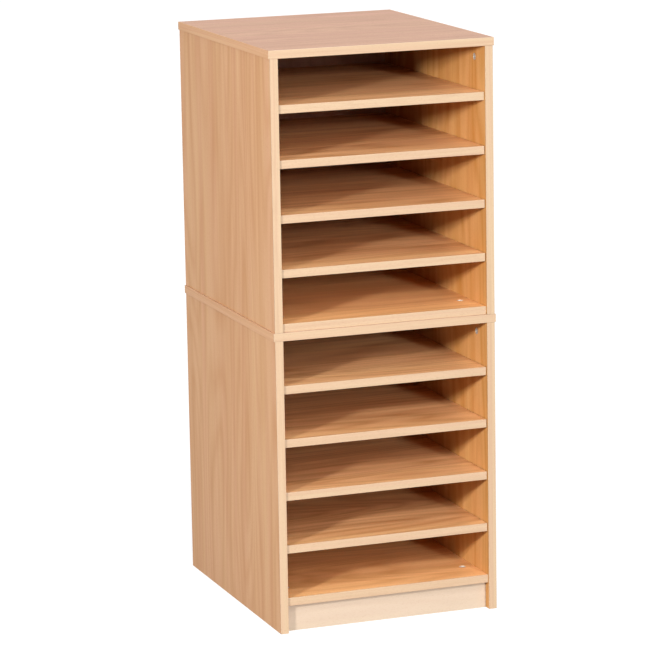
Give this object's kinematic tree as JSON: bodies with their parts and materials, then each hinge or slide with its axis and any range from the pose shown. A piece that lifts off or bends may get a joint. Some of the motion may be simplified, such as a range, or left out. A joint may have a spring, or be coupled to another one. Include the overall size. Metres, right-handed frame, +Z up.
{
  "type": "paper storage cabinet",
  "caption": "Tall open-fronted beech board cabinet of stacked units on a recessed plinth, with shallow full-width compartments that hold flat paper on loose shelves.",
  "frame": {"origin": "middle of the footprint, on the floor", "axes": "+Z up, the open front faces -Y, +X to the right as seen from the front"},
  "size_m": [0.52, 0.62, 1.2873],
  "materials": {
    "beech_board": "satin beech-effect melamine",
    "beech_shelf": "satin beech-effect melamine",
    "beech_back": "matt beech-effect board",
    "zinc_cam": "dull zinc die casting",
    "steel_wire": "bright zinc-plated wire",
    "dowel_wood": "bare beech"
  },
  "bodies": {
    "carcass": {"upper_top": "beech_board", "upper_left_side": "beech_board", "upper_right_side": "beech_board", "upper_base": "beech_board", "upper_back": "beech_back", "upper_shelf_1_left_wire": "steel_wire", "upper_shelf_1_right_wire": "steel_wire", "upper_shelf_2_left_wire": "steel_wire", "upper_shelf_2_right_wire": "steel_wire", "upper_shelf_3_left_wire": "steel_wire", "upper_shelf_3_right_wire": "steel_wire", "upper_shelf_4_left_wire": "steel_wire", "upper_shelf_4_right_wire": "steel_wire", "upper_top_cam_front_left": "zinc_cam", "upper_top_cam_front_right": "zinc_cam", "upper_top_cam_rear_left": "zinc_cam", "upper_top_cam_rear_right": "zinc_cam", "upper_base_cam_front_left": "zinc_cam", "upper_base_cam_front_right": "zinc_cam", "upper_base_cam_rear_left": "zinc_cam", "upper_base_cam_rear_right": "zinc_cam", "lower_top": "beech_board", "lower_left_side": "beech_board", "lower_right_side": "beech_board", "lower_base": "beech_board", "lower_back": "beech_back", "lower_shelf_1_left_wire": "steel_wire", "lower_shelf_1_right_wire": "steel_wire", "lower_shelf_2_left_wire": "steel_wire", "lower_shelf_2_right_wire": "steel_wire", "lower_shelf_3_left_wire": "steel_wire", "lower_shelf_3_right_wire": "steel_wire", "lower_shelf_4_left_wire": "steel_wire", "lower_shelf_4_right_wire": "steel_wire", "lower_top_cam_front_left": "zinc_cam", "lower_top_cam_front_right": "zinc_cam", "lower_top_cam_rear_left": "zinc_cam", "lower_top_cam_rear_right": "zinc_cam", "lower_base_cam_front_left": "zinc_cam", "lower_base_cam_front_right": "zinc_cam", "lower_base_cam_rear_left": "zinc_cam", "lower_base_cam_rear_right": "zinc_cam", "front_plinth": "beech_board", "rear_plinth": "beech_board", "stacking_dowel_front_left": "dowel_wood", "stacking_dowel_front_right": "dowel_wood", "stacking_dowel_rear_left": "dowel_wood", "stacking_dowel_rear_right": "dowel_wood"},
    "upper_shelf_1": {"upper_shelf_1": "beech_shelf"},
    "upper_shelf_2": {"upper_shelf_2": "beech_shelf"},
    "upper_shelf_3": {"upper_shelf_3": "beech_shelf"},
    "upper_shelf_4": {"upper_shelf_4": "beech_shelf"},
    "lower_shelf_1": {"lower_shelf_1": "beech_shelf"},
    "lower_shelf_2": {"lower_shelf_2": "beech_shelf"},
    "lower_shelf_3": {"lower_shelf_3": "beech_shelf"},
    "lower_shelf_4": {"lower_shelf_4": "beech_shelf"}
  },
  "joints": [
    {"name": "upper_shelf_1_slide", "type": "slide", "parent": "carcass", "child": "upper_shelf_1", "axis": [0, -1, 0], "range_m": [0, 0.52]},
    {"name": "upper_shelf_2_slide", "type": "slide", "parent": "carcass", "child": "upper_shelf_2", "axis": [0, -1, 0], "range_m": [0, 0.52]},
    {"name": "upper_shelf_3_slide", "type": "slide", "parent": "carcass", "child": "upper_shelf_3", "axis": [0, -1, 0], "range_m": [0, 0.52]},
    {"name": "upper_shelf_4_slide", "type": "slide", "parent": "carcass", "child": "upper_shelf_4", "axis": [0, -1, 0], "range_m": [0, 0.52]},
    {"name": "lower_shelf_1_slide", "type": "slide", "parent": "carcass", "child": "lower_shelf_1", "axis": [0, -1, 0], "range_m": [0, 0.52]},
    {"name": "lower_shelf_2_slide", "type": "slide", "parent": "carcass", "child": "lower_shelf_2", "axis": [0, -1, 0], "range_m": [0, 0.52]},
    {"name": "lower_shelf_3_slide", "type": "slide", "parent": "carcass", "child": "lower_shelf_3", "axis": [0, -1, 0], "range_m": [0, 0.52]},
    {"name": "lower_shelf_4_slide", "type": "slide", "parent": "carcass", "child": "lower_shelf_4", "axis": [0, -1, 0], "range_m": [0, 0.52]}
  ]
}
